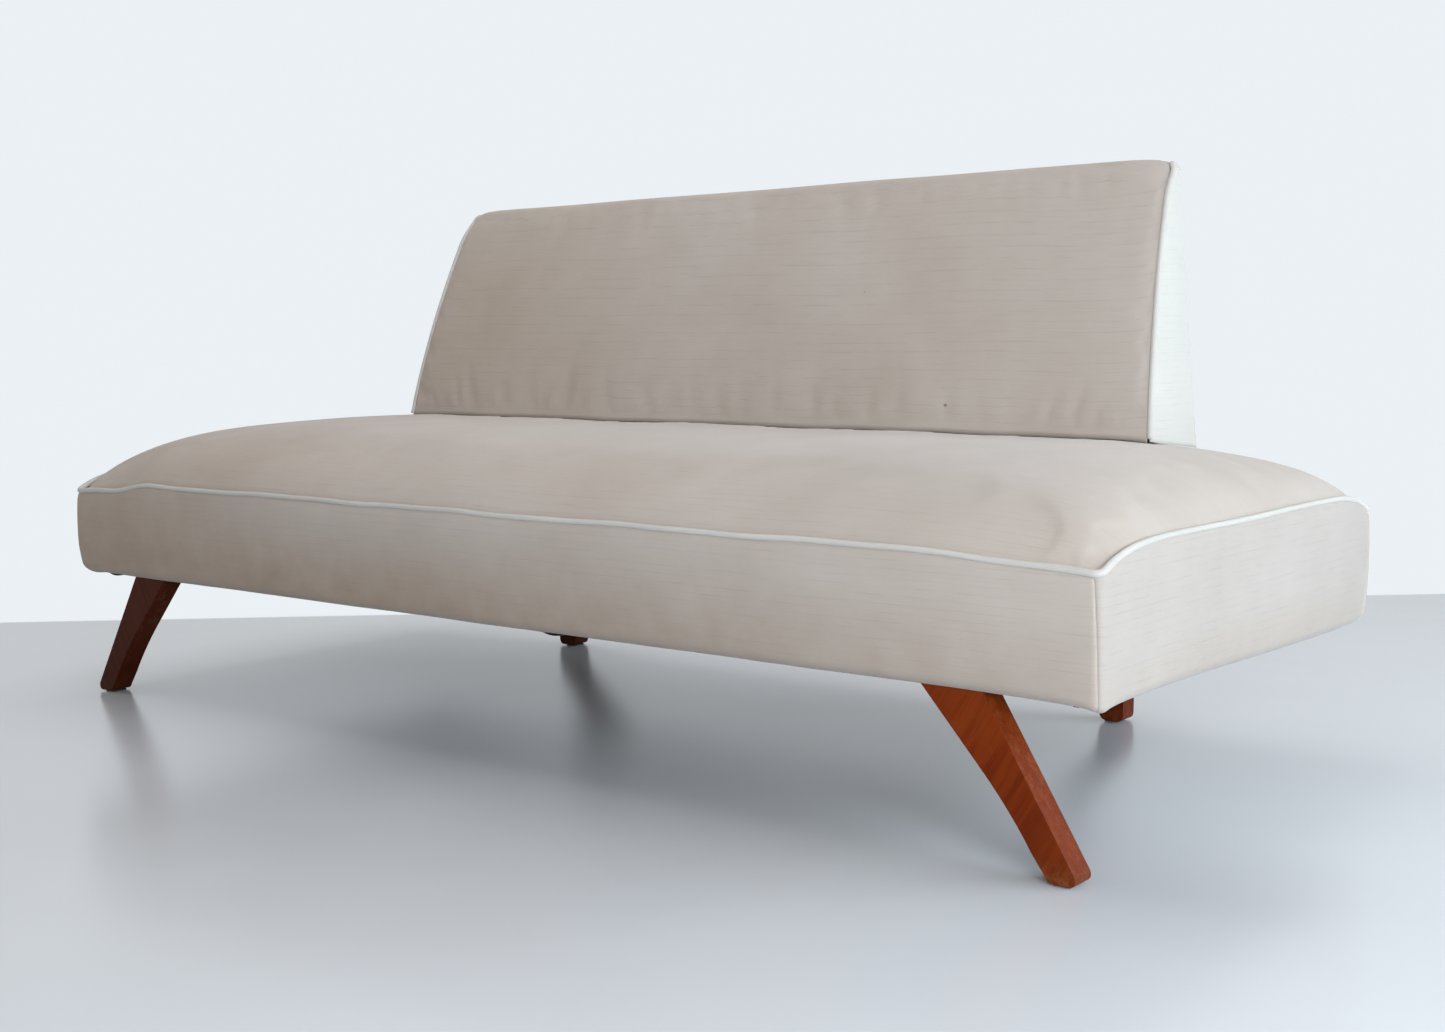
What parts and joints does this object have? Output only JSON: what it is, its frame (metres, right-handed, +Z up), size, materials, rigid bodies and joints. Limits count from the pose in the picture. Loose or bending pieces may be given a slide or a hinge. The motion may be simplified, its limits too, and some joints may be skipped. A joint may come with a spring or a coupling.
{
  "type": "daybed",
  "caption": "Upholstered daybed with a sprung seat that pulls forward on runners, splayed wooden legs and a wedge backrest held on steel arms.",
  "frame": {"origin": "middle of the whole footprint, on the floor, with the seat pushed in", "axes": "+X to the right along the length, +Y to the rear, +Z up; the seat pulls out along -Y"},
  "size_m": [1.9, 0.849, 0.8338],
  "materials": {
    "upholstery_cloth": "greige ribbed velvety cloth",
    "white_cloth": "off-white plain weave",
    "stained_hardwood": "red-brown stained hardwood, satin varnish",
    "frame_wood": "bare planed beech",
    "black_steel": "black painted steel",
    "zinc_fasteners": "zinc plated",
    "spring_steel": "oil tempered spring wire",
    "jute": "woven jute",
    "padding_felt": "cotton and hair felt",
    "black_lining": "black cambric",
    "glide_rubber": "matt black"
  },
  "bodies": {
    "rear_frame": {"rear_beam": "frame_wood", "runner_left": "frame_wood", "runner_right": "frame_wood", "runner_stops": "black_steel", "stop_screws": "zinc_fasteners", "runner_bolts": "zinc_fasteners", "rear_leg_left": "stained_hardwood", "rear_leg_right": "stained_hardwood", "rear_glides": "glide_rubber", "support_arm_left": "black_steel", "support_arm_right": "black_steel", "arm_bolts": "zinc_fasteners", "arm_nuts": "zinc_fasteners", "arm_screws": "zinc_fasteners", "back_bottom_rail": "frame_wood", "back_top_rail": "frame_wood", "back_stile_left": "frame_wood", "back_stile_right": "frame_wood", "back_end_board_left": "frame_wood", "back_end_board_right": "frame_wood", "back_center_rib": "frame_wood", "back_webbing": "jute", "back_padding": "padding_felt", "back_front_panel": "upholstery_cloth", "back_rear_panel": "upholstery_cloth", "back_bottom_panel": "black_lining", "back_gusset_left": "upholstery_cloth", "back_gusset_right": "upholstery_cloth", "back_piping_left": "white_cloth", "back_piping_right": "white_cloth"},
    "seat_unit": {"seat_front_rail": "frame_wood", "seat_rear_rail": "frame_wood", "seat_left_rail": "frame_wood", "seat_right_rail": "frame_wood", "seat_cross_rail_left": "frame_wood", "seat_cross_rail_center": "frame_wood", "seat_cross_rail_right": "frame_wood", "seat_corner_blocks": "frame_wood", "seat_leg_blocks": "frame_wood", "seat_springs": "spring_steel", "seat_spring_clips": "spring_steel", "seat_hessian": "jute", "seat_padding": "padding_felt", "seat_top_panel": "upholstery_cloth", "seat_border_front": "upholstery_cloth", "seat_border_rear": "upholstery_cloth", "seat_border_left": "upholstery_cloth", "seat_border_right": "upholstery_cloth", "seat_piping": "white_cloth", "seat_dust_cover": "black_lining", "front_leg_left": "stained_hardwood", "front_leg_right": "stained_hardwood", "front_leg_plates": "black_steel", "front_leg_bolts": "zinc_fasteners", "front_glides": "glide_rubber", "guide_front_left": "black_steel", "guide_front_right": "black_steel", "guide_rear_left": "black_steel", "guide_rear_right": "black_steel", "guide_screws": "zinc_fasteners"}
  },
  "joints": [
    {"name": "seat_pull_out", "type": "slide", "parent": "rear_frame", "child": "seat_unit", "axis": [0, -1, 0], "range_m": [0, 0.25]}
  ]
}
